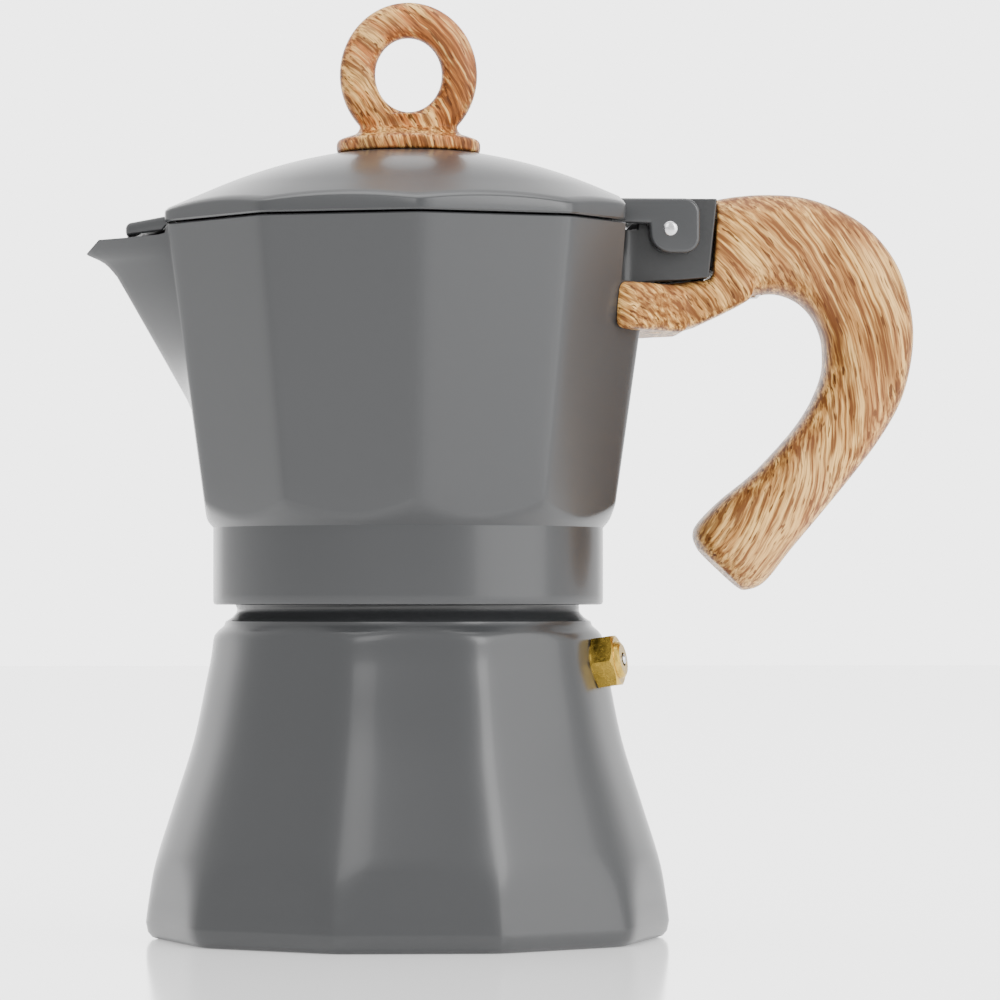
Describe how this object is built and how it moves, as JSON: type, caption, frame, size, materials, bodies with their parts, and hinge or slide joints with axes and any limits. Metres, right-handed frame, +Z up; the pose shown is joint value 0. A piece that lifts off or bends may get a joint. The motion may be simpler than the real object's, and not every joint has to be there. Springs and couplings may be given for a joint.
{
  "type": "moka pot",
  "caption": "Stovetop coffee maker: bell-shaped faceted boiler, faceted jug with V spout, hinged domed lid with ring knob, curved handle, inner funnel, seal and filter plate.",
  "frame": {"origin": "centre of the boiler's foot, on the surface that the pot stands on", "axes": "+Z up along the pot's axis, +X towards the handle and hinge, -X towards the spout"},
  "size_m": [0.1577, 0.097, 0.1777],
  "materials": {
    "grey_enamel": "glossy grey coating on cast aluminium",
    "wood_look": "moulded heat-proof plastic with a wood-grain print, satin",
    "brass": "polished",
    "steel": "bright",
    "bare_aluminium": "satin, spun",
    "seal": "matt off-white silicone"
  },
  "bodies": {
    "boiler_body": {"boiler": "grey_enamel", "valve_body": "brass", "valve_washer": "brass", "valve_retainer": "brass", "valve_spring": "steel"},
    "plunger": {"valve_plunger": "steel"},
    "funnel_unit": {"funnel": "bare_aluminium", "funnel_sieve": "bare_aluminium"},
    "seal_ring": {"gasket": "seal"},
    "filter": {"filter_plate": "bare_aluminium"},
    "jug_body": {"jug": "grey_enamel", "handle": "wood_look", "handle_screw": "steel", "handle_washer": "steel", "hinge_pin": "steel"},
    "lid_body": {"lid": "grey_enamel", "knob": "wood_look", "knob_insert": "brass", "knob_screw": "steel", "knob_washer": "steel"}
  },
  "joints": [
    {"name": "valve_release", "type": "slide", "parent": "boiler_body", "child": "plunger", "axis": [0.9393, -0.3052, 0.1564], "range_m": [0, 0.001], "stiffness_N_per_m": 500},
    {"name": "funnel_lift", "type": "slide", "parent": "boiler_body", "child": "funnel_unit", "axis": [0, 0, 1], "range_m": [0, 0.07]},
    {"name": "jug_lift", "type": "slide", "parent": "funnel_unit", "child": "seal_ring", "axis": [0, 0, 1], "range_m": [0, 0.06]},
    {"name": "thread_rise", "type": "slide", "parent": "seal_ring", "child": "filter", "axis": [0, 0, 1], "range_m": [0, 0.0038]},
    {"name": "jug_unscrew", "type": "hinge", "parent": "filter", "child": "jug_body", "pos_m": [0, 0, 0.0785], "axis": [0, 0, 1], "range_deg": [0, 450]},
    {"name": "lid_hinge", "type": "hinge", "parent": "jug_body", "child": "lid_body", "pos_m": [0.0487, 0, 0.1338], "axis": [0, 1, 0], "range_deg": [0, 95]}
  ],
  "couplings": [
    {"joint": "thread_rise", "follows": "jug_unscrew", "m_per_rad": 0.00047746}
  ]
}
